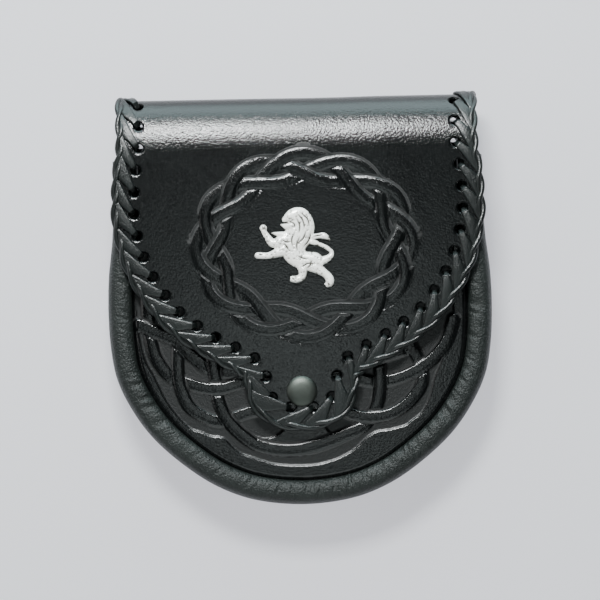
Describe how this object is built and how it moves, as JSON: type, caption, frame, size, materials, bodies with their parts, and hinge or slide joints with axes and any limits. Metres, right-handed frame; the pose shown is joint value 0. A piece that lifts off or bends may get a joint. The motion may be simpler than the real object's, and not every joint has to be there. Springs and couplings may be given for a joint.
{
  "type": "sporran pouch",
  "caption": "Belt pouch of black tooled leather with a laced front flap, plaited ring, lion badge, press stud and rolled soft gusset.",
  "frame": {"origin": "middle of the base of the bounding box, on the surface that the pouch lies on", "axes": "+Z out of the pouch's front, +Y up towards the fold of the flap, +X to the right as seen from the front"},
  "size_m": [0.1676, 0.179, 0.036],
  "materials": {
    "soft_leather": "soft pebbled black leather, matte, lightly creased",
    "panel_leather": "plain black leather, smooth and half matte",
    "tooled_leather": "firm black leather, tooled, with a polished half gloss",
    "lace_leather": "flat black leather thong, half gloss, creased where it turns",
    "badge_metal": "bright cast white metal with darkened hollows",
    "snap_metal": "satin nickel, slightly dulled"
  },
  "bodies": {
    "root": {"gusset": "soft_leather", "back_panel": "panel_leather", "front_panel": "tooled_leather", "flap": "tooled_leather", "flap_lacing": "lace_leather", "lion_badge": "badge_metal", "snap_cap": "snap_metal", "snap_stud": "snap_metal", "strap_loop_left": "panel_leather", "strap_loop_right": "panel_leather"}
  },
  "joints": []
}
